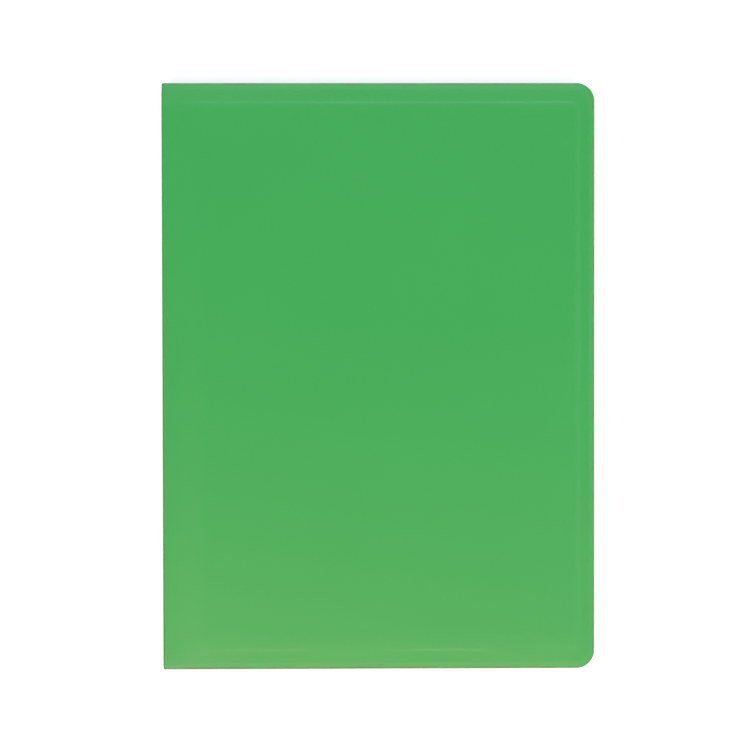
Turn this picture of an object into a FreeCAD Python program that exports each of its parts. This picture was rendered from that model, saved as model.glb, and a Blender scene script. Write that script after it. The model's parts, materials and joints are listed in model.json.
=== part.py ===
import FreeCAD, Part
import os

# A soft-cover stamp album: a welded plastic cover round a block of card leaves with clear strips.
# It lies on its back cover. X runs from the spine to the fore-edge, Y from the tail to the head and
# Z from the back cover up to the front cover. The origin is under the middle of the album.
# Every size is in millimetres.

Vector = FreeCAD.Vector

# Album, from edge to edge
ALBUM_WIDTH = 225.0
ALBUM_HEIGHT = 305.0
CORNER_RADIUS = 9.3

# Plastic films of the cover, and the boards welded in between them
SKIN = 0.45
LINING = 0.3
COVER_BOARD = 0.6
SPINE_CARD = 0.6
SPINE_CARD_INSET = 1.0
BOARD_FIT = 0.15

# Raised panel that a board makes in its cover: edge of the album, or fold of the cover, to the panel
PANEL_HEAD_INSET = 10.0
PANEL_FORE_INSET = 8.5
PANEL_FOLD_INSET = 9.0
PANEL_SLOPE = 3.0
PANEL_RADIUS = 4.0

# Creases of the cover: each film edge on a crease is round, and clears the film beside it
GUTTER_WIDTH = 4.0
CREASE_LAND = 0.8
CREASE_GAP = 0.1
FOLD_RISE = 0.1

# Leaves: two-ply black card with a linen hinge held between the plies
LEAF_COUNT = 8
LEAF_HEAD_INSET = 7.5
LEAF_FORE_INSET = 6.5
LEAF_RADIUS = 3.0
LEAF_GAP = 0.13
CARD = 0.55
LINEN = 0.2
LINEN_FREE = 9.0
LINEN_GRIP = 8.0

# Clear strips that hold the stamps, in rows up both sides of each leaf
STRIPS_PER_PAGE = 9
STRIP = 0.12
STRIP_GAP = 2.5
STRIP_HEAD_INSET = 6.75
STRIP_SPINE_INSET = 9.0
STRIP_FORE_INSET = 5.0

# Glassine interleaves tipped to the linen, one over each leaf but the first
GLASSINE = 0.08
GLASSINE_LIFT = 0.05
GLASSINE_FORE_INSET = 2.0
GLASSINE_TAB_START = 1.0
GLASSINE_TAB = 3.0
GLASSINE_CARD_GAP = 1.0

# Flyleaves, one under each cover
FLYLEAF = 0.25
FLYLEAF_GAP = 0.05
FLYLEAF_LEAF_GAP = 0.15
FLYLEAF_START = 1.6

# Binding of the leaves to the spine
MULL = 0.2
GLUE = 0.8
GLUE_MARGIN = 0.4
HINGE_STANDOFF = 0.06
HINGE_CLEARANCE = 0.1

# Levels and places worked out from the sizes above
film = SKIN + LINING
bead = film / 2
cover = film + COVER_BOARD
leaf_pitch = 2 * STRIP + CARD + GLASSINE_LIFT + GLASSINE + LEAF_GAP
block = (LEAF_COUNT - 1) * leaf_pitch + CARD + 2 * STRIP
flyleaf_room = FLYLEAF_GAP + FLYLEAF + FLYLEAF_LEAF_GAP
thickness = 2 * (cover + flyleaf_room) + block

spine_face = -ALBUM_WIDTH / 2
fore_edge = ALBUM_WIDTH / 2
half_height = ALBUM_HEIGHT / 2
leaf_fore = fore_edge - LEAF_FORE_INSET
half_leaf = half_height - LEAF_HEAD_INSET

# Each cover is drawn on the plane where its skin meets its lining
back_plane = COVER_BOARD + SKIN
front_plane = thickness - back_plane

# Axes of the creases: X and Z
crease_x = spine_face + bead
back_crease_z = back_plane - SKIN + bead
front_crease_z = thickness - back_crease_z
fold_x = crease_x + GUTTER_WIDTH
fold_z = thickness - COVER_BOARD + FOLD_RISE

# Axes of the leaf hinges
glue_face = spine_face + film + SPINE_CARD + MULL + GLUE
hinge_x = glue_face + LINEN / 2 + HINGE_STANDOFF
card_start = hinge_x + LINEN_FREE
last_leaf_z = cover + flyleaf_room + STRIP + CARD / 2


def leaf_z(number):
    """Middle of a leaf, counted from 1 under the front cover."""
    return last_leaf_z + (LEAF_COUNT - number) * leaf_pitch


def box(x0, x1, half_y, z0, z1):
    """A plain block, even about the middle of the album's height."""
    return Part.makeBox(x1 - x0, 2 * half_y, z1 - z0, Vector(x0, -half_y, z0))


def outline(x0, x1, half_y, spine_radius, fore_radius, z):
    """A rectangle at height z, with one corner radius on its spine side and one on its fore-edge."""
    corners = [
        (x0, -half_y, 1, 1, spine_radius, 180),
        (x1, -half_y, -1, 1, fore_radius, 270),
        (x1, half_y, -1, -1, fore_radius, 0),
        (x0, half_y, 1, -1, spine_radius, 90),
    ]
    edges = []
    ends = []
    for x, y, inward_x, inward_y, radius, start in corners:
        if radius == 0:
            ends.append((Vector(x, y, z), Vector(x, y, z), None))
            continue
        centre = Vector(x + inward_x * radius, y + inward_y * radius, z)
        arc = Part.makeCircle(radius, centre, Vector(0, 0, 1), start, start + 90)
        ends.append((arc.Vertexes[0].Point, arc.Vertexes[1].Point, arc))
    for number, (_, leave, arc) in enumerate(ends):
        if arc is not None:
            edges.append(arc)
        edges.append(Part.makeLine(leave, ends[(number + 1) % len(ends)][0]))
    return Part.Wire(edges)


def plate(x0, x1, half_y, spine_radius, fore_radius, z0, z1):
    """A flat sheet with rounded corners."""
    base = Part.Face(outline(x0, x1, half_y, spine_radius, fore_radius, z0))
    return base.extrude(Vector(0, 0, z1 - z0))


def run_along_y(edges, half_y):
    """A solid with one X-Z section all along the album's height. The section is drawn at Y = 0."""
    section = Part.Face(Part.Wire(edges))
    section.translate(Vector(0, -half_y, 0))
    return section.extrude(Vector(0, 2 * half_y, 0))


def round_edged_strip(axis_x, axis_z, x1, radius, half_y):
    """A flat strip from a round edge centred on a hinge axis out to x1."""
    low = Vector(axis_x, 0, axis_z - radius)
    high = Vector(axis_x, 0, axis_z + radius)
    far_low = Vector(x1, 0, axis_z - radius)
    far_high = Vector(x1, 0, axis_z + radius)
    round_edge = Part.Arc(high, Vector(axis_x - radius, 0, axis_z), low).toShape()
    sides = [Part.makeLine(low, far_low), Part.makeLine(far_low, far_high), Part.makeLine(far_high, high)]
    return run_along_y([round_edge] + sides, half_y)


def panel_solid(spread, z0, z1):
    """The raised panel of a cover: sloped sides from z0 up to its flat face at z1, spread outwards."""
    wires = []
    for grow, z in ((spread + PANEL_SLOPE, z0), (spread, z1)):
        wires.append(outline(
            fold_x + PANEL_FOLD_INSET - grow,
            fore_edge - PANEL_FORE_INSET + grow,
            half_height - PANEL_HEAD_INSET + grow,
            PANEL_RADIUS + grow,
            PANEL_RADIUS + grow,
            z,
        ))
    return Part.makeLoft(wires, True, True)


def cover_skin(crease):
    """Outer film of a cover, drawn with its outer face up and its inner face on Z = 0."""
    border = plate(crease + CREASE_LAND, fore_edge, half_height, 0, CORNER_RADIUS, 0, SKIN)
    edge = round_edged_strip(crease, SKIN - bead, crease + CREASE_LAND, bead, half_height)
    raised = panel_solid(0, SKIN, SKIN + COVER_BOARD)
    pocket = panel_solid(-SKIN, 0, COVER_BOARD)
    return border.fuse([edge, raised]).cut(pocket).removeSplitter()


def cover_board():
    """Card that stiffens a cover, in the pocket of its skin."""
    inside = SKIN + BOARD_FIT
    return plate(
        fold_x + PANEL_FOLD_INSET + inside,
        fore_edge - PANEL_FORE_INSET - inside,
        half_height - PANEL_HEAD_INSET - inside,
        PANEL_RADIUS - inside,
        PANEL_RADIUS - inside,
        0,
        COVER_BOARD,
    )


def cover_lining(crease):
    """Inner film of a cover, from its crease to the fore-edge."""
    return plate(crease + CREASE_LAND, fore_edge, half_height, 0, CORNER_RADIUS, -LINING, 0)


def as_front(shape):
    """Lifts a piece of a cover to the front cover."""
    return shape.translated(Vector(0, 0, front_plane))


def as_back(shape):
    """Turns a piece of a cover over and puts it on the back cover."""
    return shape.mirror(Vector(0, 0, 0), Vector(0, 0, 1)).translated(Vector(0, 0, back_plane))


def covers():
    """Skin, board and lining of both covers."""
    return {
        "front_cover_skin": as_front(cover_skin(fold_x)),
        "front_cover_board": as_front(cover_board()),
        "front_cover_lining": as_front(cover_lining(fold_x)),
        "back_cover_skin": as_back(cover_skin(crease_x)),
        "back_cover_board": as_back(cover_board()),
        "back_cover_lining": as_back(cover_lining(crease_x)),
    }


def front_gutter():
    """The flexible stretch of the cover between the spine and the front cover."""
    end = fold_x - bead - CREASE_GAP
    land = crease_x + CREASE_LAND
    edge = round_edged_strip(crease_x, front_crease_z, land, bead, half_height)
    film_strip = box(land, end, half_height, front_plane, front_plane + SKIN)
    return {
        "front_gutter_skin": edge.fuse(film_strip).removeSplitter(),
        "front_gutter_lining": box(land, end, half_height, front_plane - LINING, front_plane),
    }


def spine():
    """Layers of the spine, from its outer film in to the glue that holds the leaves."""
    low = back_crease_z + bead + CREASE_GAP
    high = front_crease_z - bead - CREASE_GAP
    skin_in = spine_face + SKIN
    card_in = skin_in + SPINE_CARD
    lining_in = card_in + LINING
    mull_in = lining_in + MULL
    glue_low = leaf_z(LEAF_COUNT) - GLUE_MARGIN
    glue_high = leaf_z(1) + GLUE_MARGIN
    glue = box(mull_in, glue_face, half_leaf, glue_low, glue_high)
    seats = []
    for number in range(1, LEAF_COUNT + 1):
        foot = Vector(hinge_x, -half_leaf, leaf_z(number))
        seats.append(Part.makeCylinder(LINEN / 2 + HINGE_CLEARANCE, 2 * half_leaf, foot, Vector(0, 1, 0)))
    return {
        "spine_skin": box(spine_face, skin_in, half_height, low, high),
        "spine_card": box(skin_in, card_in, half_height - SPINE_CARD_INSET, low, high),
        "spine_lining": box(card_in, lining_in, half_height, low, high),
        "spine_mull": box(lining_in, mull_in, half_leaf, glue_low, glue_high),
        "binding_glue": glue.cut(seats),
    }


def flyleaves():
    """The plain sheets next to the covers, each with a round edge at the spine."""
    start = crease_x + FLYLEAF_START
    sheets = {}
    for name, z in (
        ("front_flyleaf", thickness - cover - FLYLEAF_GAP - FLYLEAF / 2),
        ("back_flyleaf", cover + FLYLEAF_GAP + FLYLEAF / 2),
    ):
        sheets[name] = round_edged_strip(start, z, leaf_fore, FLYLEAF / 2, half_leaf)
    return sheets


def leaf_card(z):
    """Two plies of card, open along the spine edge for the linen."""
    card = plate(card_start, leaf_fore, half_leaf, 0, LEAF_RADIUS, z - CARD / 2, z + CARD / 2)
    slot = box(card_start, card_start + LINEN_GRIP, half_leaf, z - LINEN / 2, z + LINEN / 2)
    return card.cut(slot)


def strips(face_z, outward):
    """The clear strips on one face of a leaf, evenly up the page."""
    low_z = min(face_z, face_z + outward * STRIP)
    lowest = STRIP_HEAD_INSET - half_leaf
    height = (-2 * lowest - (STRIPS_PER_PAGE - 1) * STRIP_GAP) / STRIPS_PER_PAGE
    x0 = card_start + STRIP_SPINE_INSET
    width = leaf_fore - STRIP_FORE_INSET - x0
    rows = []
    for row in range(STRIPS_PER_PAGE):
        corner = Vector(x0, lowest + row * (height + STRIP_GAP), low_z)
        rows.append(Part.makeBox(width, height, STRIP, corner))
    return Part.makeCompound(rows)


def interleaf(z):
    """A glassine sheet glued to the linen by its tab, bent up to lie over the strips of its leaf."""
    tab_z = z + LINEN / 2
    flat_z = z + CARD / 2 + STRIP + GLASSINE_LIFT
    tab_x = hinge_x + GLASSINE_TAB_START
    low_side = [
        Vector(tab_x, 0, tab_z),
        Vector(tab_x + GLASSINE_TAB, 0, tab_z),
        Vector(card_start - GLASSINE_CARD_GAP, 0, flat_z),
        Vector(leaf_fore - GLASSINE_FORE_INSET, 0, flat_z),
    ]
    high_side = [point + Vector(0, 0, GLASSINE) for point in reversed(low_side)]
    ring = low_side + high_side
    edges = [Part.makeLine(start, end) for start, end in zip(ring, ring[1:])]
    round_middle = Vector(tab_x - GLASSINE / 2, 0, tab_z + GLASSINE / 2)
    edges.append(Part.Arc(ring[-1], round_middle, ring[0]).toShape())
    return run_along_y(edges, half_leaf)


def leaves():
    """Every leaf: its card, linen hinge and strips, and the interleaf that lies over it."""
    pieces = {}
    for number in range(1, LEAF_COUNT + 1):
        z = leaf_z(number)
        name = f"leaf_{number}"
        linen_end = card_start + LINEN_GRIP
        pieces[f"{name}_card"] = leaf_card(z)
        pieces[f"{name}_hinge"] = round_edged_strip(hinge_x, z, linen_end, LINEN / 2, half_leaf)
        pieces[f"{name}_front_strips"] = strips(z + CARD / 2, 1)
        pieces[f"{name}_back_strips"] = strips(z - CARD / 2, -1)
        if number > 1:
            pieces[f"interleaf_{number}"] = interleaf(z)
    return pieces


def main():
    os.makedirs("parts", exist_ok=True)
    pieces = {**covers(), **front_gutter(), **spine(), **flyleaves(), **leaves()}
    for name, shape in pieces.items():
        shape.exportStep(f"parts/{name}.step")
        print(f"{name}: {len(shape.Solids)} solids, {shape.Volume:.1f} mm3, valid {shape.isValid()}")
    print(f"thickness {thickness:.3f}")
    print(f"back crease at X {crease_x:.3f}, Z {back_crease_z:.3f}; front crease at Z {front_crease_z:.3f}")
    print(f"cover fold at X {fold_x:.3f}, Z {fold_z:.3f}")
    print(f"leaf hinges at X {hinge_x:.3f}, Z from {leaf_z(LEAF_COUNT):.3f} up by {leaf_pitch:.3f}")
    print(f"back flyleaf edge at X {crease_x + FLYLEAF_START:.3f}, Z {cover + FLYLEAF_GAP + FLYLEAF / 2:.3f}")
    over_leaf = (LINEN + GLASSINE) / 2
    print(f"interleaf edges at X {hinge_x + GLASSINE_TAB_START:.3f}, {over_leaf:.3f} over their leaves")


main()
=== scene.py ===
# %% [markdown]
# # A soft-cover stamp album
# The album is a green plastic cover, welded from two films round thin boards, with a block of black card
# leaves bound into it. The imported solids come in first as a fixed frame. Every piece made below takes its
# place from that frame, and all but the three crease lengths ride on one of its bodies.

# %% Load the frame
import json
import math

import bmesh
import bpy
import numpy as np
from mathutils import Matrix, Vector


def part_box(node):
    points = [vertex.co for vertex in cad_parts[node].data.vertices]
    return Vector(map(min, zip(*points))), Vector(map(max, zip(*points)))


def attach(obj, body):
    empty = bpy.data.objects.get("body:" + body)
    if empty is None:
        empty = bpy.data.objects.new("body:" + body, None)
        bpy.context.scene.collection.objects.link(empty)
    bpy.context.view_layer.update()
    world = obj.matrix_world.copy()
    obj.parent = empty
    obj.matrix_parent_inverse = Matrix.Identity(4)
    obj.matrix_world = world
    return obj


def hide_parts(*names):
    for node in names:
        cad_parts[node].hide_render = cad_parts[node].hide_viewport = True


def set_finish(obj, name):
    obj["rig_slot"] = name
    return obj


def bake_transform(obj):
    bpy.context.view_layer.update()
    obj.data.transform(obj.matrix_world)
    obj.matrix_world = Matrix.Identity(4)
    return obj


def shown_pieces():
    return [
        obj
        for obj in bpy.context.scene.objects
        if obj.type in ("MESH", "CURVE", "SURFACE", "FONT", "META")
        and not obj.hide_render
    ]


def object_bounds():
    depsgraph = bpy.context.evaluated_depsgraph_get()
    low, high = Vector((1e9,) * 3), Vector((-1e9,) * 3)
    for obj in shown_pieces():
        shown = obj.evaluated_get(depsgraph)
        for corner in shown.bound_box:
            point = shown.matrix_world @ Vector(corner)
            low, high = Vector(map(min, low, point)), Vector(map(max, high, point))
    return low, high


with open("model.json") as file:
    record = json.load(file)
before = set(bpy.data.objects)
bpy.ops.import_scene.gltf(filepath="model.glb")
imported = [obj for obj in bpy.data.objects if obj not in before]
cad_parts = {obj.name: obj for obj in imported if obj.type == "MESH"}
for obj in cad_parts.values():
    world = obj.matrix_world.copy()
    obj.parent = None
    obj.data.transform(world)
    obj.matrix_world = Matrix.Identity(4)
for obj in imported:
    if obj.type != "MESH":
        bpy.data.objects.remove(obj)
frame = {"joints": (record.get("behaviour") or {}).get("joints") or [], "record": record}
cad_low, cad_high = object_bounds()
print("CAD box:", [round(v, 4) for v in cad_low], [round(v, 4) for v in cad_high])

# %% [markdown]
# ## Measure the cover
# A dressed model drifts out of place when sizes are typed in twice. So the levels of the cover are read
# from the boxes of its solids, and the places of its creases from the joints. Only what a box can't tell,
# such as the radius of a corner, is written here as a size of its own.

# %% Levels and edges
MM = 0.001
joint_place = {joint["name"]: joint["pos_m"] for joint in frame["joints"]}
board_low, board_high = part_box("front_cover_board")
lining_low, lining_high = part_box("front_cover_lining")
back_lining_low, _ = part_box("back_cover_lining")
_, spine_lining_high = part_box("spine_lining")

spine_edge = cad_low.x
fore_edge = cad_high.x
half_height = cad_high.y
front_plane = lining_high.z
back_plane = back_lining_low.z
lining_film = lining_high.z - lining_low.z
board = board_high.z - board_low.z
skin_film = cad_high.z - board_high.z
fold_x = joint_place["front_cover_fold"][0]
print(f"films {skin_film / MM:.2f} and {lining_film / MM:.2f} mm, board {board / MM:.2f} mm")
print(f"cover fold at X {fold_x / MM:.2f} mm, films meet at Z {front_plane / MM:.2f} mm")

# %% [markdown]
# ## Films as closed meshes
# A film could be a single sheet of faces with a Solidify modifier. Here each film is made from two grids of
# points, its outer and its inner face, closed by a wall round the rim: both faces can then have a relief of
# their own, and every mesh is a closed volume.

# %% Mesh helpers
SHARP_ANGLE = 40


def film_between(outer, inner):
    """Points and faces of a closed film between two grids with the same rows and columns."""
    rows, columns = outer.shape[:2]
    count = rows * columns
    number = np.arange(count).reshape(rows, columns)
    faces = []
    for grid in (number, number + count):
        squares = np.stack([grid[:-1, :-1], grid[1:, :-1], grid[1:, 1:], grid[:-1, 1:]], axis=-1)
        faces += squares.reshape(-1, 4).tolist()
    rim = np.concatenate([number[0, :-1], number[:-1, -1], number[-1, :0:-1], number[:0:-1, 0]])
    after = np.roll(rim, -1)
    faces += np.stack([rim, after, after + count, rim + count], axis=-1).tolist()
    return np.concatenate([outer.reshape(-1, 3), inner.reshape(-1, 3)]), faces


def new_piece(name, films):
    """One smooth mesh object from a list of closed films."""
    points = []
    faces = []
    for film_points, film_faces in films:
        start = len(points)
        points += film_points.tolist()
        faces += [[start + corner for corner in face] for face in film_faces]
    mesh = bpy.data.meshes.new(name)
    mesh.from_pydata(points, [], faces)
    shell = bmesh.new()
    shell.from_mesh(mesh)
    bmesh.ops.recalc_face_normals(shell, faces=shell.faces)
    shell.to_mesh(mesh)
    shell.free()
    mesh.shade_smooth()
    mesh.set_sharp_from_angle(angle=math.radians(SHARP_ANGLE))
    piece = bpy.data.objects.new(name, mesh)
    bpy.context.scene.collection.objects.link(piece)
    print(f"{name}: {len(points)} points, {len(faces)} faces")
    return piece


# %% [markdown]
# ## Rolled edge of the film
# On the real cover the two films are welded together all round, outside the board. From the edge inwards
# the film rolls over, rises to the low bead that the welding tool leaves, steps up at the edge of the board
# and swells gently into the flat panel. Bump mapping could fake all this, but the cover is looked at from
# the side too, so it is real relief from formulas of the distance to the edge. The roll comes first. It is
# widest along the head and deepest at the fore-edge, and it ends in a small round edge.

# %% Roll and round edge
ROLL_DROP = 0.2 * MM
FORE_ROLL_DROP = 0.3 * MM
HEAD_ROLL = 8.0 * MM
SIDE_ROLL = 3.0 * MM
EDGE_ROUND = 0.5 * MM
EDGE_DROP = 0.18 * MM


def smooth_step(share):
    """0 before 0, 1 after 1, and an even S between them."""
    share = np.clip(share, 0, 1)
    return share * share * (3 - 2 * share)


def border_relief(distance, y, fore_share):
    """Depth of the rolled film and of its rounded edge, below the flat film."""
    roll_width = SIDE_ROLL + (HEAD_ROLL - SIDE_ROLL) * smooth_step(y / half_height) * (1 - fore_share)
    roll_drop = ROLL_DROP + (FORE_ROLL_DROP - ROLL_DROP) * fore_share
    rolled_off = roll_drop * np.clip(1 - distance / roll_width, 0, 1) ** 2
    to_edge = np.clip(1 - distance / EDGE_ROUND, 0, 1)
    return rolled_off + EDGE_DROP * (1 - np.sqrt(1 - to_edge ** 2))


print(f"along the head the rim of the film lies {(ROLL_DROP + EDGE_DROP) / MM:.2f} mm below its flat part")

# %% [markdown]
# ## Pull of the film
# The step at the edge of the board is the thin light line in the photo. Along the head it grows clearer
# towards the fore-edge, and at the tail it shows only in two places, because a film is drawn tighter over
# its board in some places than in others. The strength of the line could be painted by hand. One formula is
# shorter and easier to change: a slow wave across the cover, which evens out towards the head.

# %% Tension of the film
TAIL_TENSION = 1.0
HEAD_TENSION_AT_SPINE = 0.85
HEAD_TENSION_AT_FORE = 1.8
HEAD_EVENNESS = 0.6
PULL_SPACING = 92 * MM
PULL_PLACE = 54 * MM
PULL_DRIFT = 25 * MM


def tension(x, y):
    """How tightly the film is drawn: fully and almost evenly at the head, only in places at the tail."""
    headward = smooth_step((y + half_height) / half_height)
    foreward = (x - spine_edge) / (fore_edge - spine_edge)
    at_head = HEAD_TENSION_AT_SPINE + (HEAD_TENSION_AT_FORE - HEAD_TENSION_AT_SPINE) * foreward
    strength = TAIL_TENSION + (at_head - TAIL_TENSION) * headward
    wave = 0.5 + 0.5 * np.cos(2 * np.pi * (x - PULL_PLACE - PULL_DRIFT * y / half_height) / PULL_SPACING)
    even = HEAD_EVENNESS * headward
    return strength * (even + (1 - even) * wave ** 2)


print(f"tension in the middle of the head: {tension(0, half_height):.2f}")

# %% [markdown]
# ## Rise to the panel
# Inside the roll the outer face climbs by the thickness of the board. Part of the climb is there from the
# start, as the thickness of the weld, part is the step at the edge of the board, and the rest is a long
# swell. At the fore-edge the step is broad and even, whatever the pull is elsewhere.

# %% Bead, step and swell
BEAD_PLACE = 3.6 * MM
BEAD_WIDTH = 1.4 * MM
BEAD_SHARE = 0.08
BEAD_EVENNESS = 0.5
STEP_PLACE = 9.9 * MM
STEP_WIDTH = 2.0 * MM
STEP_SHARE = 0.24
FORE_STEP_WIDTH = 4.5 * MM
FORE_TENSION = 1.3
BORDER_SHARE = 0.2
PANEL_REACH = 20 * MM


def ridge(distance, place, width):
    """A soft ridge one unit high."""
    return np.exp(-(((distance - place) / width) ** 2))


def panel_rise(distance, x, y, fore_share):
    """How far the outer face has risen towards the panel: a bead and a step on a gentle swell."""
    pull = tension(x, y)
    pull = pull + (FORE_TENSION - pull) * fore_share
    step_width = STEP_WIDTH + (FORE_STEP_WIDTH - STEP_WIDTH) * fore_share
    bead_share = BEAD_SHARE * (BEAD_EVENNESS + (1 - BEAD_EVENNESS) * pull)
    bead = bead_share * ridge(distance, BEAD_PLACE, BEAD_WIDTH)
    step = smooth_step((distance - STEP_PLACE) / step_width + 0.5)
    step_share = STEP_SHARE * pull
    swell = 1 - np.clip(1 - distance / PANEL_REACH, 0, 1) ** 2
    return BORDER_SHARE + bead + step_share * step + (1 - BORDER_SHARE - step_share) * swell


print(f"the step is {STEP_PLACE / MM:.1f} mm inside the head and the tail")

# %% [markdown]
# ## A grid that turns the corners
# The two fore-edge corners are round and the spine corners are square. A rectangular grid is easiest to
# build, so the cover starts as one, with its lines close together near the edges. In the fore-edge corners
# each L-shaped grid line is then bent into an arc, and its distance from the edge goes along with it, so
# that the roll and the bead run round the corner unbroken. A share of the fore-edge is worked out for every
# point too. It lets the sharp step of the head fade into the soft step of the fore-edge round the corner.

# %% Grid lines and round corners
CORNER_RADIUS = 9.3 * MM
EDGE_ZONE = PANEL_REACH
EDGE_LINES = 7
BORDER_LINES = 22
STEP_LINES = 13
SWELL_LINES = 10
PANEL_LINES = 30
HALF_CORNER = math.radians(45)
NO_ZERO = 1e-9

fore_ratio = (fore_edge - board_high.x) / (half_height - board_high.y)
fore_zone = EDGE_ZONE * fore_ratio
before_step = STEP_PLACE - STEP_WIDTH
after_step = STEP_PLACE + STEP_WIDTH
edge_steps = np.concatenate([
    EDGE_ROUND * np.linspace(0, 1, EDGE_LINES)[:-1] ** 2,
    np.linspace(EDGE_ROUND, before_step, BORDER_LINES)[:-1],
    np.linspace(before_step, after_step, STEP_LINES)[:-1],
    np.linspace(after_step, EDGE_ZONE, SWELL_LINES),
])
middle_lines = np.linspace(EDGE_ZONE - half_height, half_height - EDGE_ZONE, PANEL_LINES)[1:-1]
height_lines = np.concatenate([edge_steps - half_height, middle_lines, (half_height - edge_steps)[::-1]])


def width_lines(start, spine_run, spine_steps):
    """Grid lines across a cover, close together beside the spine and at the fore-edge."""
    near_spine = np.linspace(start, start + spine_run, spine_steps)
    across = np.linspace(start + spine_run, fore_edge - fore_zone, PANEL_LINES)[1:-1]
    return np.concatenate([near_spine, across, (fore_edge - edge_steps * fore_ratio)[::-1]])


def cover_grid(across):
    """X, Y, distance from the edge, and share of the fore-edge in it, for every crossing of the lines."""
    x, y = np.meshgrid(across, height_lines)
    along_x = np.clip((x - fore_edge + fore_zone) / fore_zone, 0, 1)
    along_y = np.clip((np.abs(y) - half_height + EDGE_ZONE) / EDGE_ZONE, 0, 1)
    ring = np.maximum(along_x, along_y)
    leg_x = fore_zone * ring
    leg_y = EDGE_ZONE * ring
    radius = CORNER_RADIUS * ring
    on_head = along_y >= along_x
    to_corner = np.where(on_head, leg_x - fore_zone * along_x, leg_y - EDGE_ZONE * along_y)
    bent = (along_x > 0) & (along_y > 0) & (to_corner < radius)
    turn = HALF_CORNER * np.clip(1 - to_corner / np.maximum(radius, NO_ZERO), 0, 1)
    arc_x = leg_x - radius + radius * np.where(on_head, np.sin(turn), np.cos(turn))
    arc_y = leg_y - radius + radius * np.where(on_head, np.cos(turn), np.sin(turn))
    x = np.where(bent, fore_edge - fore_zone + arc_x, x)
    y = np.where(bent, np.sign(y) * (half_height - EDGE_ZONE + arc_y), y)
    fore_share = smooth_step(along_x / np.maximum(along_x + along_y, NO_ZERO))
    return x, y, EDGE_ZONE * (1 - ring), fore_share


print(f"{len(height_lines)} lines up the cover, edge zones {EDGE_ZONE / MM:.0f} and {fore_zone / MM:.1f} mm")

# %% [markdown]
# ## Front and back cover
# Each cover is one skin film, raised by its board into a flat panel. Towards the spine the film rises so
# slowly that no line shows. Over the edge of the board it is drawn thin, so its inner face fits the board
# while its outer face stays soft. A soft film is never dead flat, so the panel also has hollows of a few
# hundredths of a millimetre, too low to see as shape, but enough to break up the gloss. The back cover is
# the same film turned over.

# %% Cover skins
SEAM_PAST_FOLD = 1.5 * MM
SPINE_RUN = 22 * MM
SPINE_STEPS = 16
SWELL_LENGTH = 18 * MM
BOARD_CLEARANCE = 0.5 * MM
POCKET_WIDTH = 2.0 * MM
WAVE_HEIGHT = 0.03 * MM
WAVES = [(11, 7, 0.4), (-6, 13, 1.9), (17, -5, 3.1)]

seam_x = fold_x + SEAM_PAST_FOLD
pocket_edge = half_height - board_high.y - BOARD_CLEARANCE
print(f"pocket of the board starts {pocket_edge / MM:.1f} mm inside the head")


def waviness(x, y):
    """Slow hollows of the soft film. Each wave has turns per metre along X and Y, and a phase."""
    total = 0
    for turns_x, turns_y, phase in WAVES:
        total = total + np.sin(2 * np.pi * (turns_x * x + turns_y * y) + phase)
    return WAVE_HEIGHT * (total / len(WAVES) - 1) / 2


def skin_heights(x, y, edge, fore_share):
    """Outer and inner face of a cover skin over the plane where it meets its lining."""
    swell = smooth_step((x - seam_x) / SWELL_LENGTH)
    flat = swell * smooth_step((edge - STEP_PLACE) / PANEL_REACH)
    rise = board * swell * panel_rise(edge, x, y, fore_share)
    outer = skin_film + rise - border_relief(edge, y, fore_share) + flat * waviness(x, y)
    past_fold = smooth_step((x - board_low.x + POCKET_WIDTH) / POCKET_WIDTH)
    past_border = smooth_step((edge - pocket_edge + POCKET_WIDTH) / POCKET_WIDTH)
    return outer, board * past_fold * past_border


def cover_piece(name, across, heights, plane, outward):
    """A film of a cover from its two height formulas, on its plane and facing outward."""
    x, y, edge, fore_share = cover_grid(across)
    top, bottom = heights(x, y, edge, fore_share)
    outer = np.stack([x, y, plane + outward * top], axis=-1)
    inner = np.stack([x, y, plane + outward * bottom], axis=-1)
    return new_piece(name, [film_between(outer, inner)])


skin_lines = width_lines(seam_x, SPINE_RUN, SPINE_STEPS)
front_skin = cover_piece("front_cover_shell", skin_lines, skin_heights, front_plane, 1)
back_skin = cover_piece("back_cover_shell", skin_lines, skin_heights, back_plane, -1)
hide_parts("front_cover_skin")
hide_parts("back_cover_skin")
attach(front_skin, "front_cover")
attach(back_skin, "back_cover")
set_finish(front_skin, "cover_film")
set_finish(back_skin, "cover_film")

# %% [markdown]
# ## Linings
# The inner film of each cover is flat and shows the weld from the inside, as a shallow pressed line all
# round. It uses the same grid as the skin, so its corners match the skin's corners exactly.

# %% Lining films
LINING_WELD_DEPTH = 0.1 * MM
LINING_WELD_PLACE = 5.0 * MM
LINING_WELD_WIDTH = 0.8 * MM
LINING_ROUND = 0.12 * MM
LINING_STEPS = 4


def lining_heights(_x, _y, edge, _fore_share):
    """Inner face of a lining, with its weld line and rolled edge, and the face on the skin."""
    weld = LINING_WELD_DEPTH * ridge(edge, LINING_WELD_PLACE, LINING_WELD_WIDTH)
    roll = np.clip(1 - edge / LINING_ROUND, 0, 1)
    return weld + LINING_ROUND * roll * roll - lining_film, 0 * edge


for cover, box, plane, outward in (
    ("front_cover", lining_low, front_plane, 1),
    ("back_cover", back_lining_low, back_plane, -1),
):
    lines = width_lines(box.x, SPINE_RUN, LINING_STEPS)
    lining = cover_piece(f"{cover}_inner_film", lines, lining_heights, plane, outward)
    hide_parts(f"{cover}_lining")
    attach(lining, cover)
    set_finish(lining, "lining_film")
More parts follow.
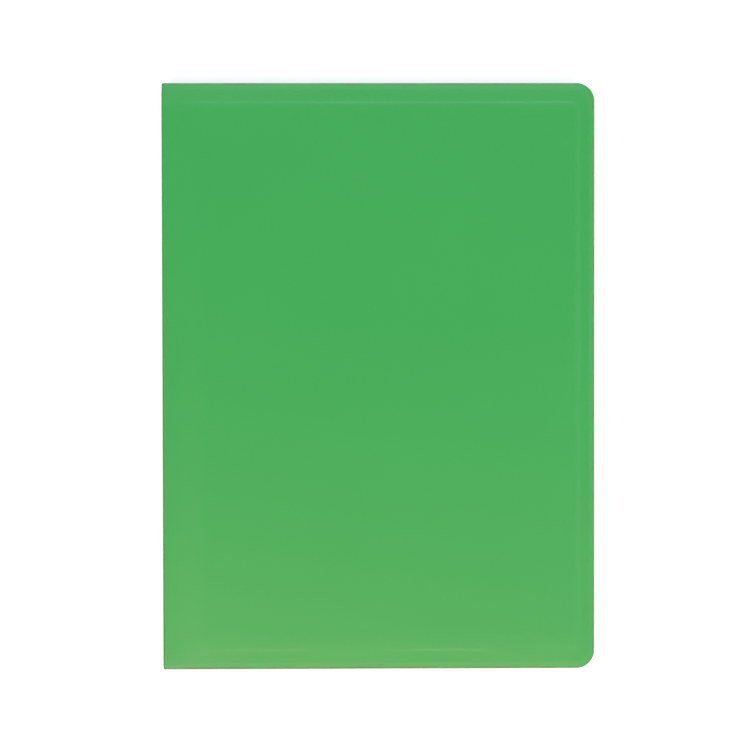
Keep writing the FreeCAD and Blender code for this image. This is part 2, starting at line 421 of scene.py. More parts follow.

# %% [markdown]
# ## Film round the spine
# From the back cover to the front cover the film runs round the spine in one piece, bent at two creases
# and once more at the fold of the front cover. It is drawn as a C-shaped section and run from tail to head.
# A film that crosses a crease has to bend with it, so the C is cut into four lengths in its flat
# stretches: three that take in the creases and the fold, and the stiff spine between them.

# %% Section of the spine film
CREASE_RADIUS = 1.2 * MM
INNER_RADIUS = 0.2 * MM
RUN_SAMPLES = 17
CORNER_SAMPLES = 9
SPINE_SAMPLES = 7

front_face = front_plane + skin_film
back_face = back_plane - skin_film
inner_spine = spine_lining_high.x
gutter_inside = lining_low.z


def c_section(left, low, high, radius):
    """Points and outward directions of a C: back run, crease, spine, crease, front run."""
    up = np.linspace(0, 1, SPINE_SAMPLES)[1:-1]
    out = np.linspace(0, 1, RUN_SAMPLES)
    corner = np.linspace(0, np.pi / 2, CORNER_SAMPLES)[1:-1]
    run_x = left + radius + (seam_x - left - radius) * out
    flat = np.zeros(RUN_SAMPLES)
    low_turn = 1.5 * np.pi - corner
    high_turn = np.pi - corner
    spine_z = low + radius + (high - low - 2 * radius) * np.concatenate([[0], up, [1]])
    straight = np.zeros(SPINE_SAMPLES)
    x = np.concatenate([run_x[::-1], left + radius + radius * np.cos(low_turn), left + straight,
                        left + radius + radius * np.cos(high_turn), run_x])
    z = np.concatenate([low + flat, low + radius + radius * np.sin(low_turn), spine_z,
                        high - radius + radius * np.sin(high_turn), high + flat])
    away_x = np.concatenate([flat, np.cos(low_turn), straight - 1, np.cos(high_turn), flat])
    away_z = np.concatenate([flat - 1, np.sin(low_turn), straight, np.sin(high_turn), flat + 1])
    return x, z, away_x, away_z


outside = c_section(spine_edge, back_face, front_face, CREASE_RADIUS)
inside_x, inside_z, _, _ = c_section(inner_spine, back_plane, gutter_inside, INNER_RADIUS)
under_lining = (inside_z > gutter_inside - MM) & (inside_x > lining_low.x)
inside_z = np.where(under_lining, front_plane, inside_z)
print(f"{len(inside_x)} points round the section")

# %% [markdown]
# The rolled edges of the head and the tail run on round the spine, so the section is pressed in by the same
# border relief as the covers. Each length below names its first and last point in the section.

# %% Creases, spine and fold
GUTTER_POINTS = 4
SPINE_POINTS = 2


def spine_film(name, first, last):
    """One length of the film round the spine, from tail to head."""
    x, z, away_x, away_z = [part[first:last + 1] for part in outside]
    y = np.repeat(height_lines[:, None], len(x), axis=1)
    relief = border_relief(half_height - np.abs(y), y, 0)
    outer = np.stack([x - relief * away_x, y, z - relief * away_z], axis=-1)
    inner_x = np.repeat(inside_x[None, first:last + 1], len(y), axis=0)
    inner_z = np.repeat(inside_z[None, first:last + 1], len(y), axis=0)
    piece = new_piece(name, [film_between(outer, np.stack([inner_x, y, inner_z], axis=-1))])
    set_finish(piece, "cover_film")
    return piece


spine_start = RUN_SAMPLES + CORNER_SAMPLES - 2
spine_end = spine_start + SPINE_SAMPLES - 1
last_point = len(inside_x) - 1
gutter_middle = last_point - RUN_SAMPLES + 1 + GUTTER_POINTS

back_crease = spine_film("back_crease_film", 0, spine_start + SPINE_POINTS)
spine_panel = spine_film("spine_film", spine_start + SPINE_POINTS, spine_end - SPINE_POINTS)
front_crease = spine_film("front_crease_film", spine_end - SPINE_POINTS, gutter_middle)
front_fold = spine_film("front_fold_film", gutter_middle, last_point)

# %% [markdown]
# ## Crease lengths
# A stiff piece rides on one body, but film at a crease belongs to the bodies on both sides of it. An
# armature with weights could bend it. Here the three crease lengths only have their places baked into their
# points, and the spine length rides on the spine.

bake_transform(back_crease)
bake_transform(front_crease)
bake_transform(front_fold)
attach(spine_panel, "spine")
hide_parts("spine_skin", "spine_lining")
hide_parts("front_gutter_skin", "front_gutter_lining")

# %% [markdown]
# ## Clear strips on the leaves
# Stamps are slipped behind rows of clear film, fixed along the lower edge and at both ends, with the upper
# edge free. A plain box would show no free edge, so each strip is a thin film that lies on the card along
# its seam and lifts by less than a tenth of a millimetre towards its upper edge. The lift differs a little
# from strip to strip, with a fixed seed so that every run gives the same album.

# %% Strips
STRIPS_PER_PAGE = 9
STRIP_GAP = 2.5 * MM
STRIP_FILM = 0.045 * MM
STRIP_SEAM = 2.0 * MM
STRIP_END = 6.0 * MM
STRIP_ROWS = 8
STRIP_COLUMNS = 16
STRIP_LIFT = (0.5, 1.0)
ON_CARD = 0.008 * MM
LEAVES = 8

draw = np.random.default_rng(11)


def page_strips(node, body, outward):
    """The strips on one page, from the box that the page's strips fill."""
    low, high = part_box(node)
    face = low.z if outward > 0 else high.z
    room = high.z - low.z - STRIP_FILM - ON_CARD
    tall = (high.y - low.y - (STRIPS_PER_PAGE - 1) * STRIP_GAP) / STRIPS_PER_PAGE
    films = []
    for row in range(STRIPS_PER_PAGE):
        foot = low.y + row * (tall + STRIP_GAP)
        up = np.concatenate([[0], np.linspace(STRIP_SEAM, tall, STRIP_ROWS)])
        across = np.linspace(low.x, high.x, STRIP_COLUMNS)
        x, y = np.meshgrid(across, foot + up)
        from_end = np.minimum(x - low.x, high.x - x)
        free = smooth_step((y - foot - STRIP_SEAM) / (tall - STRIP_SEAM)) * smooth_step(from_end / STRIP_END)
        lift = ON_CARD + room * draw.uniform(*STRIP_LIFT) * free
        outer = np.stack([x, y, face + outward * (lift + STRIP_FILM)], axis=-1)
        inner = np.stack([x, y, face + outward * lift], axis=-1)
        films.append(film_between(outer, inner))
    piece = new_piece(f"{node}_films", films)
    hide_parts(node)
    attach(piece, body)
    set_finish(piece, "clear_strip")


for number in range(1, LEAVES + 1):
    page_strips(f"leaf_{number}_front_strips", f"leaf_{number}", 1)
    page_strips(f"leaf_{number}_back_strips", f"leaf_{number}", -1)

# %% [markdown]
# ## Node helpers
# Materials here are built only from nodes. Written out in full, each node takes four or five lines, so a
# few helpers place a node, set or link its inputs, do sums and start a group. A link is made where an input
# is given another node's socket, and a plain number or colour is set on the socket itself.

# %% Helpers for node trees
def set_input(tree, socket, value):
    """Links a socket to an input, or sets the input to a plain value."""
    if isinstance(value, bpy.types.NodeSocket):
        tree.links.new(value, socket)
    else:
        socket.default_value = value


def add_node(tree, kind, inputs=None, **settings):
    """A new node with its settings, and its inputs by name or number."""
    made = tree.nodes.new(kind)
    for name, value in settings.items():
        setattr(made, name, value)
    for name, value in (inputs or {}).items():
        set_input(tree, made.inputs[name], value)
    return made


def calculate(tree, operation, *values):
    """A sum of one, two or three values."""
    made = add_node(tree, "ShaderNodeMath", dict(enumerate(values)), operation=operation)
    return made.outputs[0]


def remap(tree, value, low, high, to_low, to_high, bend="LINEAR"):
    """A value stretched from one range to another, and held at its ends."""
    inputs = {"Value": value, "From Min": low, "From Max": high, "To Min": to_low, "To Max": to_high}
    return add_node(tree, "ShaderNodeMapRange", inputs, interpolation_type=bend).outputs["Result"]


def mix_colours(tree, share, first, second):
    """The first colour at share 0 and the second at share 1."""
    made = add_node(tree, "ShaderNodeMix", data_type="RGBA")
    # A Mix node has sockets for every type of data. The colours are inputs 6 and 7, and output 2.
    set_input(tree, made.inputs[0], share)
    set_input(tree, made.inputs[6], first)
    set_input(tree, made.inputs[7], second)
    return made.outputs[2]


def noise(tree, vector, scale, detail):
    """Soft random values about 0.5."""
    made = add_node(tree, "ShaderNodeTexNoise", {"Vector": vector, "Scale": scale, "Detail": detail})
    return made.outputs[0]


def new_group(name, takes, gives):
    """An empty node group with its named sockets, and its two end nodes."""
    tree = bpy.data.node_groups.new(name, "ShaderNodeTree")
    for socket, kind in takes.items():
        tree.interface.new_socket(socket, in_out="INPUT", socket_type=kind)
    for socket in gives:
        tree.interface.new_socket(socket, in_out="OUTPUT", socket_type="NodeSocketFloat")
    return tree, tree.nodes.new("NodeGroupInput").outputs, tree.nodes.new("NodeGroupOutput").inputs


# %% [markdown]
# ## Shared effects
# Some effects come back in several finishes: the fine grain of rolled film, the fibres of paper and card,
# woven thread, and the ramp along the edge of a sheet, for rub and for a painted edge shade. Each is a node
# group, built once and placed in every material that needs it with values of its own. Sizes are per metre,
# because the coordinates are metres.
#
# ### Grain
# Rolled film has a fine grain on a coarser one, and faint clouds where the rollers pressed unevenly. An
# image could show all three, but noises at three scales need no image and stay sharp close up.

# %% Grain of rolled film
COARSE_SHARE = 0.3
CLOUDS_PER_METRE = 14
CLOUD_RANGE = (0.3, 0.7)

grain_group, takes, gives = new_group(
    "film_grain", {"Vector": "NodeSocketVector", "Grains": "NodeSocketFloat"}, ["Height", "Tone"])
fine = noise(grain_group, takes["Vector"], takes["Grains"], detail=2)
coarse_scale = calculate(grain_group, "MULTIPLY", takes["Grains"], COARSE_SHARE)
coarse = noise(grain_group, takes["Vector"], coarse_scale, detail=1)
clouds = noise(grain_group, takes["Vector"], CLOUDS_PER_METRE, detail=3)
set_input(grain_group, gives["Height"], calculate(grain_group, "ADD", fine, coarse))
set_input(grain_group, gives["Tone"], remap(grain_group, clouds, *CLOUD_RANGE, 0, 1))
print("group", grain_group.name)

# %% [markdown]
# ### Fibres
# Paper and card are a felt of fibres. Most of them lie along the run of the paper machine and some lie
# across it. Even noise would look like sand, so two noises are added, each drawn out in one direction.

# %% Fibres of paper and card
FIBRE_STRETCH = (1, 0.16, 1)
CROSS_STRETCH = (0.2, 1, 1)
FELT_RANGE = (0.75, 1.25)

fibre_group, takes, gives = new_group(
    "paper_fibre", {"Vector": "NodeSocketVector", "Fibres": "NodeSocketFloat"}, ["Height", "Tone"])
strands = []
for stretch in (FIBRE_STRETCH, CROSS_STRETCH):
    drawn_out = add_node(fibre_group, "ShaderNodeMapping", {"Vector": takes["Vector"], "Scale": stretch})
    strands.append(noise(fibre_group, drawn_out.outputs[0], takes["Fibres"], detail=3))
felt = calculate(fibre_group, "ADD", *strands)
set_input(fibre_group, gives["Height"], felt)
set_input(fibre_group, gives["Tone"], remap(fibre_group, felt, *FELT_RANGE, 0, 1))
print("group", fibre_group.name)

# %% [markdown]
# ### Weave
# In plain weave each thread goes over one thread and under the next. A chequered pattern would do from far
# off, but threads are round. So two sine waves cross like the threads: where their product is above zero the
# warp lies on top, and elsewhere the weft.

# %% Woven thread
weave_group, takes, gives = new_group(
    "plain_weave", {"Vector": "NodeSocketVector", "Threads": "NodeSocketFloat"}, ["Height"])
place = add_node(weave_group, "ShaderNodeSeparateXYZ", {"Vector": takes["Vector"]})
pitch = calculate(weave_group, "MULTIPLY", takes["Threads"], math.pi)
waves = []
for axis in ("X", "Y"):
    along = calculate(weave_group, "MULTIPLY", place.outputs[axis], pitch)
    waves.append(calculate(weave_group, "SINE", along))
crossing = calculate(weave_group, "MULTIPLY", *waves)
over = calculate(weave_group, "GREATER_THAN", crossing, 0)
under = calculate(weave_group, "SUBTRACT", 1, over)
warp = calculate(weave_group, "MULTIPLY", calculate(weave_group, "ABSOLUTE", waves[0]), over)
weft = calculate(weave_group, "MULTIPLY", calculate(weave_group, "ABSOLUTE", waves[1]), under)
set_input(weave_group, gives["Height"], calculate(weave_group, "ADD", warp, weft))
print("group", weave_group.name)

# %% [markdown]
# ### Edge ramp
# The edges of a sheet are handled most. The rub could be painted on each sheet by hand. Here the group finds
# the distance to the nearest edge from the sheet's own sizes, and a noise breaks the rub into patches, so
# that it isn't the same all along. On the cover film the same ramp carries a painted edge shade.

# %% Rub and painted edge shade along the edge of a sheet
PATCHES_PER_METRE = 90
PATCH_RANGE = (0.35, 0.65)
LEAST_RUB = 0.15

edge_ramp_group, takes, gives = new_group(
    "edge_rub",
    {"Vector": "NodeSocketVector", "Left": "NodeSocketFloat", "Right": "NodeSocketFloat",
     "Half Height": "NodeSocketFloat", "Reach": "NodeSocketFloat"},
    ["Rub"])
place = add_node(edge_ramp_group, "ShaderNodeSeparateXYZ", {"Vector": takes["Vector"]})
from_left = calculate(edge_ramp_group, "SUBTRACT", place.outputs["X"], takes["Left"])
from_right = calculate(edge_ramp_group, "SUBTRACT", takes["Right"], place.outputs["X"])
from_side = calculate(edge_ramp_group, "MINIMUM", from_left, from_right)
off_middle = calculate(edge_ramp_group, "ABSOLUTE", place.outputs["Y"])
from_end = calculate(edge_ramp_group, "SUBTRACT", takes["Half Height"], off_middle)
from_edge = calculate(edge_ramp_group, "MINIMUM", from_side, from_end)
near = remap(edge_ramp_group, from_edge, 0, takes["Reach"], 1, 0)
uneven = noise(edge_ramp_group, takes["Vector"], PATCHES_PER_METRE, detail=4)
patches = remap(edge_ramp_group, uneven, *PATCH_RANGE, LEAST_RUB, 1)
set_input(edge_ramp_group, gives["Rub"], calculate(edge_ramp_group, "MULTIPLY", near, patches))
print("group", edge_ramp_group.name)

# %% [markdown]
# ## Materials
# Every material starts the same way: a Principled BSDF and the piece's own coordinates, so that a finish
# goes along with its piece when the album opens. Groups then feed its colour, its roughness and its bump.

# %% Start of a material
materials = {}


def new_material(slot):
    """A material named after its slot: its tree, its shader and the coordinates of the piece."""
    material = bpy.data.materials.new(slot)
    material.use_nodes = True
    tree = material.node_tree
    materials[slot] = material
    coordinates = tree.nodes.new("ShaderNodeTexCoord").outputs["Object"]
    return tree, tree.nodes["Principled BSDF"].inputs, coordinates


def place_group(tree, group, inputs):
    """A node group in a material, with its own values."""
    made = add_node(tree, "ShaderNodeGroup", node_tree=group)
    for name, value in inputs.items():
        set_input(tree, made.inputs[name], value)
    return made.outputs


def set_surface(tree, shader, tone, roughness, height, relief):
    """Roughness by tone, from one value to another, and a bump with its depth and its strength."""
    depth, strength = relief
    bump = add_node(tree, "ShaderNodeBump", {"Height": height, "Distance": depth, "Strength": strength})
    set_input(tree, shader["Roughness"], remap(tree, tone, 0, 1, *roughness))
    set_input(tree, shader["Normal"], bump.outputs["Normal"])


# %% [markdown]
# ### Green cover film
# Soft plastic with a satin face: a strong green underneath and a colourless gloss on top. The colour of the
# plastic is therefore darker and purer than what the photo shows, because the gloss adds a little white
# everywhere. The grain is fine, under half a millimetre, and only breaks the gloss.

# %% Cover film
FILM_GREEN = (0.0135, 0.370, 0.0665, 1)
FILM_GREEN_DEEP = (0.0129, 0.364, 0.0645, 1)
FILM_GRAINS = 2600
FILM_ROUGHNESS = (0.37, 0.38)
FILM_RELIEF = (0.02 * MM, 0.25)

tree, shader, at = new_material("cover_film")
grain = place_group(tree, grain_group, {"Vector": at, "Grains": FILM_GRAINS})
green = mix_colours(tree, grain["Tone"], FILM_GREEN_DEEP, FILM_GREEN)
set_surface(tree, shader, grain["Tone"], FILM_ROUGHNESS, grain["Height"], FILM_RELIEF)
print("cover film:", FILM_GRAINS, "grains to the metre")

# %% [markdown]
# ### Painted sheen along the head and at the spine corners
# Along the head the film is painted paler as a painted sheen: most at the very edge, where the roll catches
# the light, and faintly in a wider band that grows towards the spine. The two corners at the spine get a
# painted highlight as well. Each place has a ramp of its own. They could be added up, but the strongest one
# is taken instead, so that no place turns white where two of them meet.

# %% Painted sheen and highlight on the film
# A pale colour: real rub on the lining, and painted sheen along the head of the cover.
FILM_PALE_RUB_AND_SHEEN = (0.26, 0.36, 0.30, 1)
HEAD_SHEEN_REACH = 5.5 * MM
HEAD_SHEEN = 0.12
HEAD_BAND_START = 16 * MM
HEAD_BAND_FULL = 8 * MM
BAND_AT_SPINE = 0.05
BAND_PAST_MIDDLE = 0.025
CORNER_HIGHLIGHT = 0.10
CORNER_REACH_ACROSS = 45 * MM
CORNER_REACH_UP = 11 * MM

place = add_node(tree, "ShaderNodeSeparateXYZ", {"Vector": at}).outputs
# Painted sheen: paler towards the head edge, where the rolled film catches the light.
edge_rub = remap(tree, place["Y"], half_height - HEAD_SHEEN_REACH, half_height, 0, HEAD_SHEEN, "SMOOTHSTEP")
band_start = half_height - HEAD_BAND_START
in_band = remap(tree, place["Y"], band_start, half_height - HEAD_BAND_FULL, 0, 1, "SMOOTHSTEP")
band_share = remap(tree, place["X"], spine_edge, 0, BAND_AT_SPINE, BAND_PAST_MIDDLE, "SMOOTHSTEP")
# Painted highlight at the two spine corners.
to_spine = remap(tree, place["X"], spine_edge, spine_edge + CORNER_REACH_ACROSS, CORNER_HIGHLIGHT, 0)
off_middle = calculate(tree, "ABSOLUTE", place["Y"])
to_end = remap(tree, off_middle, half_height - CORNER_REACH_UP, half_height, 0, 1)
corner_highlight = calculate(tree, "MULTIPLY", to_spine, to_end)
along_head = calculate(tree, "MAXIMUM", edge_rub, calculate(tree, "MULTIPLY", in_band, band_share))
paler_share = calculate(tree, "MAXIMUM", along_head, corner_highlight)
# The painted sheen and highlight are mixed into the green here.
lightened = mix_colours(tree, paler_share, green, FILM_PALE_RUB_AND_SHEEN)
# The reach printed below is that of the painted sheen band.
print(f"rub reaches {HEAD_BAND_START / MM:.0f} mm in from the head")

# %% [markdown]
# ### Painted shade on the cut edges
# A thin dark line is painted round the cover as the shade of its edge. The edge ramp group finds the
# edges. The film runs on round the spine, so its cut edge on that side is a cover's width away.

# %% Painted shade on the edges
# Dark grey painted along the edges as their shade.
FILM_EDGE_SHADE = (0.13, 0.13, 0.125, 1)
EDGE_SHADE_REACH = 1.4 * MM
EDGE_SHADE = 0.9
ROUND_SPINE = fore_edge - spine_edge
FILM_EDGES = {"Left": spine_edge - ROUND_SPINE, "Right": fore_edge, "Half Height": half_height}

# Painted shade: the edge ramp darkens the film towards its cut edges.
edge = place_group(tree, edge_ramp_group, {"Vector": at, "Reach": EDGE_SHADE_REACH, **FILM_EDGES})
edge_shade = calculate(tree, "MULTIPLY", edge["Rub"], EDGE_SHADE)
set_input(tree, shader["Base Color"], mix_colours(tree, edge_shade, lightened, FILM_EDGE_SHADE))
print(f"grime reaches {EDGE_SHADE_REACH / MM:.1f} mm in from the edges")

# %% [markdown]
# ### Lining film
# The same plastic from inside: a shade darker and duller, because it never gets polished by hands. It could
# share the cover's material, but then its weld line would shine as much as the cover does.

# %% Lining film
LINING_GREEN = (0.020, 0.300, 0.058, 1)
LINING_GREEN_DEEP = (0.017, 0.275, 0.050, 1)
LINING_GRAINS = 1900
LINING_RUB = 0.25
LINING_RUB_REACH = 1.5 * MM
LINING_ROUGHNESS = (0.48, 0.56)
LINING_RELIEF = (0.03 * MM, 0.4)

tree, shader, at = new_material("lining_film")
grain = place_group(tree, grain_group, {"Vector": at, "Grains": LINING_GRAINS})
rub = place_group(tree, edge_ramp_group, {"Vector": at, "Reach": LINING_RUB_REACH, **FILM_EDGES})
green = mix_colours(tree, grain["Tone"], LINING_GREEN_DEEP, LINING_GREEN)
paler_share = calculate(tree, "MULTIPLY", rub["Rub"], LINING_RUB)
set_input(tree, shader["Base Color"], mix_colours(tree, paler_share, green, FILM_PALE_RUB_AND_SHEEN))
set_surface(tree, shader, grain["Tone"], LINING_ROUGHNESS, grain["Height"], LINING_RELIEF)
print("lining film:", LINING_GRAINS, "grains to the metre")

# %% [markdown]
# ### Black card
# Album pages are dyed right through, so that light stamps stand out. Plain black would look like a hole, so
# the fibres vary between two very dark greys, and the edges rub to a paler one.

# %% Black card
CARD_BLACK = (0.014, 0.014, 0.016, 1)
CARD_GREY = (0.026, 0.026, 0.028, 1)
CARD_RUBBED = (0.075, 0.073, 0.072, 1)
CARD_FIBRES = 1400
CARD_RUB_REACH = 1.0 * MM
CARD_ROUGHNESS = (0.72, 0.86)
CARD_RELIEF = (0.05 * MM, 0.5)
card_low, card_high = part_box("leaf_1_card")
CARD_EDGES = {"Left": card_low.x, "Right": card_high.x, "Half Height": card_high.y}

tree, shader, at = new_material("black_card")
fibre = place_group(tree, fibre_group, {"Vector": at, "Fibres": CARD_FIBRES})
rub = place_group(tree, edge_ramp_group, {"Vector": at, "Reach": CARD_RUB_REACH, **CARD_EDGES})
black = mix_colours(tree, fibre["Tone"], CARD_BLACK, CARD_GREY)
set_input(tree, shader["Base Color"], mix_colours(tree, rub["Rub"], black, CARD_RUBBED))
set_surface(tree, shader, fibre["Tone"], CARD_ROUGHNESS, fibre["Height"], CARD_RELIEF)
print("black card:", CARD_FIBRES, "fibres to the metre")

# %% [markdown]
# ### Black linen
# A strip of bookbinder's linen carries each leaf. Its threads are about a third of a millimetre apart. That
# is too fine to model, so the weave is a bump and a change of tone: the threads on top catch the light.

# %% Hinge linen
LINEN_DEEP = (0.008, 0.008, 0.009, 1)
LINEN_TOP = (0.045, 0.045, 0.048, 1)
LINEN_WORN = (0.06, 0.06, 0.062, 1)
LINEN_THREADS = 2800
LINEN_FIBRES = 500
LINEN_WEAR = 0.3
LINEN_ROUGHNESS = (0.9, 0.7)
LINEN_RELIEF = (0.08 * MM, 0.6)

tree, shader, at = new_material("hinge_linen")
weave = place_group(tree, weave_group, {"Vector": at, "Threads": LINEN_THREADS})
fibre = place_group(tree, fibre_group, {"Vector": at, "Fibres": LINEN_FIBRES})
thread = mix_colours(tree, weave["Height"], LINEN_DEEP, LINEN_TOP)
lightened = calculate(tree, "MULTIPLY", fibre["Tone"], LINEN_WEAR)
set_input(tree, shader["Base Color"], mix_colours(tree, lightened, thread, LINEN_WORN))
set_surface(tree, shader, weave["Height"], LINEN_ROUGHNESS, weave["Height"], LINEN_RELIEF)
print("hinge linen:", LINEN_THREADS, "threads to the metre")

# %% [markdown]
# ### Clear strip
# The strips are glass-clear film, so they are made as a clear solid with a smooth gloss. A faint unevenness
# in the normal keeps a long strip from reflecting like a mirror.

# %% Clear strip
STRIP_TINT = (0.97, 0.98, 0.98, 1)
STRIP_IOR = 1.49
STRIP_GRAINS = 60
STRIP_ROUGHNESS = (0.03, 0.09)
STRIP_RELIEF = (0.05 * MM, 0.3)

tree, shader, at = new_material("clear_strip")
grain = place_group(tree, grain_group, {"Vector": at, "Grains": STRIP_GRAINS})
shader["Base Color"].default_value = STRIP_TINT
shader["Transmission Weight"].default_value = 1
shader["IOR"].default_value = STRIP_IOR
set_surface(tree, shader, grain["Tone"], STRIP_ROUGHNESS, grain["Height"], STRIP_RELIEF)
print("clear strip: index of refraction", STRIP_IOR)

# %% [markdown]
# ### Glassine
# Between the leaves lie sheets of glassine, a thin paper pressed until light comes through it. It is partly
# see-through, a little cloudy and smooth. Glass would bend the light behind it, so the sheet is made partly
# transparent by its alpha instead.

# %% Glassine
GLASSINE_CLOUDY = (0.78, 0.77, 0.71, 1)
GLASSINE_PALE = (0.88, 0.87, 0.82, 1)
GLASSINE_YELLOWED = (0.80, 0.74, 0.60, 1)
GLASSINE_ALPHA = (0.48, 0.62)
GLASSINE_FIBRES = 260
GLASSINE_RUB_REACH = 2.5 * MM
GLASSINE_ROUGHNESS = (0.28, 0.40)
GLASSINE_RELIEF = (0.04 * MM, 0.4)
sheet_low, sheet_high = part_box("interleaf_2")
SHEET_EDGES = {"Left": sheet_low.x, "Right": sheet_high.x, "Half Height": sheet_high.y}

tree, shader, at = new_material("glassine")
fibre = place_group(tree, fibre_group, {"Vector": at, "Fibres": GLASSINE_FIBRES})
rub = place_group(tree, edge_ramp_group, {"Vector": at, "Reach": GLASSINE_RUB_REACH, **SHEET_EDGES})
pale = mix_colours(tree, fibre["Tone"], GLASSINE_CLOUDY, GLASSINE_PALE)
set_input(tree, shader["Base Color"], mix_colours(tree, rub["Rub"], pale, GLASSINE_YELLOWED))
set_input(tree, shader["Alpha"], remap(tree, fibre["Tone"], 0, 1, *GLASSINE_ALPHA))
set_surface(tree, shader, fibre["Tone"], GLASSINE_ROUGHNESS, fibre["Height"], GLASSINE_RELIEF)
print("glassine: alpha", GLASSINE_ALPHA)

# %% [markdown]
# ### Flyleaf paper
# The flyleaves beside the covers are ordinary off-white paper, which yellows first along its edges. Here the
# edge rub serves as the yellowing.

# %% Flyleaf paper
PAPER_WHITE = (0.76, 0.75, 0.70, 1)
PAPER_PALE = (0.83, 0.82, 0.77, 1)
PAPER_YELLOWED = (0.72, 0.66, 0.52, 1)
PAPER_FIBRES = 900
PAPER_RUB_REACH = 4.0 * MM
PAPER_ROUGHNESS = (0.78, 0.9)
PAPER_RELIEF = (0.04 * MM, 0.5)
flyleaf_low, flyleaf_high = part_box("front_flyleaf")
FLYLEAF_EDGES = {"Left": flyleaf_low.x, "Right": flyleaf_high.x, "Half Height": flyleaf_high.y}

tree, shader, at = new_material("flyleaf_paper")
fibre = place_group(tree, fibre_group, {"Vector": at, "Fibres": PAPER_FIBRES})
rub = place_group(tree, edge_ramp_group, {"Vector": at, "Reach": PAPER_RUB_REACH, **FLYLEAF_EDGES})
pale = mix_colours(tree, fibre["Tone"], PAPER_WHITE, PAPER_PALE)
set_input(tree, shader["Base Color"], mix_colours(tree, rub["Rub"], pale, PAPER_YELLOWED))
set_surface(tree, shader, fibre["Tone"], PAPER_ROUGHNESS, fibre["Height"], PAPER_RELIEF)
print("flyleaf paper:", PAPER_FIBRES, "fibres to the metre")

# %% [markdown]
# ### Board, gauze and glue
# These hold the album together and hardly show: grey board inside the covers, an open gauze on the inside
# of the spine and the dried glue that grips the linen. At the head and the tail of the spine their ends can
# be seen, so they get finishes of their own too.

# %% Grey board
BOARD_DARK = (0.28, 0.27, 0.25, 1)
BOARD_LIGHT = (0.42, 0.40, 0.36, 1)
BOARD_FIBRES = 700
BOARD_ROUGHNESS = (0.8, 0.92)
BOARD_RELIEF = (0.08 * MM, 0.6)

tree, shader, at = new_material("grey_board")
fibre = place_group(tree, fibre_group, {"Vector": at, "Fibres": BOARD_FIBRES})
set_input(tree, shader["Base Color"], mix_colours(tree, fibre["Tone"], BOARD_DARK, BOARD_LIGHT))
set_surface(tree, shader, fibre["Tone"], BOARD_ROUGHNESS, fibre["Height"], BOARD_RELIEF)
print("grey board:", BOARD_FIBRES, "fibres to the metre")

# %% Mull gauze
MULL_DARK = (0.50, 0.45, 0.34, 1)
MULL_LIGHT = (0.80, 0.77, 0.70, 1)
MULL_THREADS = 1100
MULL_ROUGHNESS = (0.9, 0.75)
MULL_RELIEF = (0.1 * MM, 0.6)

tree, shader, at = new_material("mull_gauze")
weave = place_group(tree, weave_group, {"Vector": at, "Threads": MULL_THREADS})
set_input(tree, shader["Base Color"], mix_colours(tree, weave["Height"], MULL_DARK, MULL_LIGHT))
set_surface(tree, shader, weave["Height"], MULL_ROUGHNESS, weave["Height"], MULL_RELIEF)
print("mull gauze:", MULL_THREADS, "threads to the metre")

# %% Binding glue
GLUE_DARK = (0.62, 0.53, 0.34, 1)
GLUE_LIGHT = (0.78, 0.72, 0.56, 1)
GLUE_GRAINS = 700
GLUE_ROUGHNESS = (0.3, 0.5)
GLUE_RELIEF = (0.1 * MM, 0.5)

tree, shader, at = new_material("binding_glue")
grain = place_group(tree, grain_group, {"Vector": at, "Grains": GLUE_GRAINS})
set_input(tree, shader["Base Color"], mix_colours(tree, grain["Tone"], GLUE_DARK, GLUE_LIGHT))
set_surface(tree, shader, grain["Tone"], GLUE_ROUGHNESS, grain["Height"], GLUE_RELIEF)
print(len(materials), "materials")

# %% [markdown]
# ## Dress the pieces
# The record says which slot each solid belongs to, and the new pieces were given a slot when they were made.
# So one loop hands out every material.

# %% Assign the materials
slot_of = {part["node"]: part["material_slot"] for part in frame["record"]["subparts"]}
dressed = 0
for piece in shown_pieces():
    slot = piece.get("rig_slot") or slot_of[piece.name]
    piece.data.materials.clear()
    piece.data.materials.append(materials[slot])
    dressed += 1
print(dressed, "pieces dressed")

# %% [markdown]
# ## Floor
# The photo has a pure white background. Flooding the album with light would bleach it, so the floor shows
# white to the camera by a little light of its own, and still takes the album's shadow.

# %% Floor
FLOOR_SIZE = 12
FLOOR_COLOUR = (0.86, 0.86, 0.86, 1)
FLOOR_ROUGHNESS = 0.9
FLOOR_GLOW = 0.5
WHITE = (1, 1, 1, 1)


def seen_directly(tree):
    """1 for rays from the camera, a reflection or a clear piece, and 0 for light on the album."""
    path = tree.nodes.new("ShaderNodeLightPath").outputs
    mirrored = calculate(tree, "MAXIMUM", path["Is Glossy Ray"], path["Is Transmission Ray"])
    return calculate(tree, "MAXIMUM", path["Is Camera Ray"], mirrored)


half_floor = FLOOR_SIZE / 2
floor_corners = [(half_floor * x, half_floor * y, 0) for x, y in ((-1, -1), (1, -1), (1, 1), (-1, 1))]
floor_mesh = bpy.data.meshes.new("floor")
floor_mesh.from_pydata(floor_corners, [], [(0, 1, 2, 3)])
floor = bpy.data.objects.new("floor", floor_mesh)
floor.location.z = cad_low.z
bpy.context.scene.collection.objects.link(floor)

paint = bpy.data.materials.new("floor_paint")
paint.use_nodes = True
floor_shader = paint.node_tree.nodes["Principled BSDF"].inputs
floor_shader["Base Color"].default_value = FLOOR_COLOUR
floor_shader["Roughness"].default_value = FLOOR_ROUGHNESS
floor_shader["Specular IOR Level"].default_value = 0
floor_shader["Emission Color"].default_value = WHITE
glow = calculate(paint.node_tree, "MULTIPLY", seen_directly(paint.node_tree), FLOOR_GLOW)
set_input(paint.node_tree, floor_shader["Emission Strength"], glow)
floor_mesh.materials.append(paint)
print(f"floor {FLOOR_SIZE} m wide, {cad_low.z / MM:.2f} mm up")

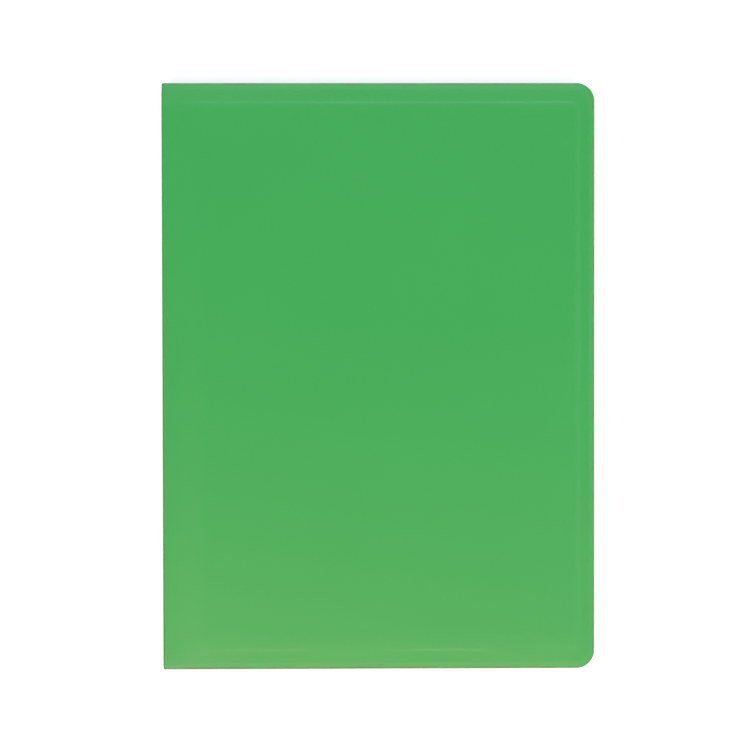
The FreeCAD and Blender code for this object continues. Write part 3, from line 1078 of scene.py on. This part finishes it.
# %% [markdown]
# ## World
# The world gives an even soft light from all round, as a white room does. At full strength it would wash
# out the relief of the cover, so it is dim, and white only where the camera or a reflection looks straight
# at it.

# %% World
WORLD_LIGHT = 0.242

world = bpy.data.worlds.new("studio")
world.use_nodes = True
bpy.context.scene.world = world
sky = world.node_tree
level = remap(sky, seen_directly(sky), 0, 1, WORLD_LIGHT, 1)
set_input(sky, sky.nodes["Background"].inputs["Strength"], level)
sky.nodes["Background"].inputs["Color"].default_value = WHITE
print("world light", WORLD_LIGHT)

# %% [markdown]
# ## Lamps
# The gloss of the cover grows towards the tail, so the main lamp stands there, high up, where its
# reflection lies just off the lower edge. A weaker lamp past the head draws the light line along the board
# there, and one on each side lifts the fore-edge and the spine. All are wide, so their shadows are soft.

# %% Lamps
LAMP_DISTANCE = 1.8


def lamp(name, tilt, turn, size, power, colour):
    """A soft rectangular lamp, tilted from straight above and turned from the tail side."""
    light = bpy.data.lights.new(name, "AREA")
    light.shape = "RECTANGLE"
    light.size, light.size_y = size
    light.energy = power
    light.color = colour
    made = bpy.data.objects.new(name, light)
    made.rotation_euler = (math.radians(tilt), 0, math.radians(turn))
    bpy.context.scene.collection.objects.link(made)
    bpy.context.view_layer.update()
    made.location = made.matrix_world.to_3x3().col[2] * LAMP_DISTANCE
    print(name, "at", [round(v, 2) for v in made.location])


lamp("tail_lamp", tilt=23.5, turn=-10, size=(1.6, 0.2), power=15.8, colour=(1.0, 0.66, 0.41))
lamp("head_lamp", tilt=30, turn=180, size=(1.2, 0.4), power=7.7, colour=(0.76, 0.94, 1.0))
lamp("fore_lamp", tilt=30, turn=78, size=(1.4, 0.4), power=6.5, colour=(1.0, 1.0, 1.0))
lamp("spine_lamp", tilt=30, turn=-72, size=(1.2, 0.4), power=3.5, colour=(1.0, 1.0, 1.0))

# %% [markdown]
# ## Camera
# The photo looks almost straight down. The head of the cover is a hundredth wider than the tail, and the
# spine edge a little longer than the fore-edge, so the camera leans by about a degree each way. Its place
# and lens were worked out from the four edges of the cover in a square picture.

# %% Camera
CAMERA_PLACE = (-15.92 * MM, 24.13 * MM, 1110.66 * MM)
CAMERA_LEAN = (-1.209, -0.737, -0.092)
CAMERA_LENS = 101.38

camera_data = bpy.data.cameras.new("camera")
camera_data.lens = CAMERA_LENS
camera = bpy.data.objects.new("camera", camera_data)
camera.location = CAMERA_PLACE
camera.rotation_euler = [math.radians(angle) for angle in CAMERA_LEAN]
bpy.context.scene.collection.objects.link(camera)
bpy.context.scene.camera = camera
bpy.context.scene.view_settings.view_transform = "Standard"
print("camera at", [round(v, 3) for v in CAMERA_PLACE], "lens", CAMERA_LENS)
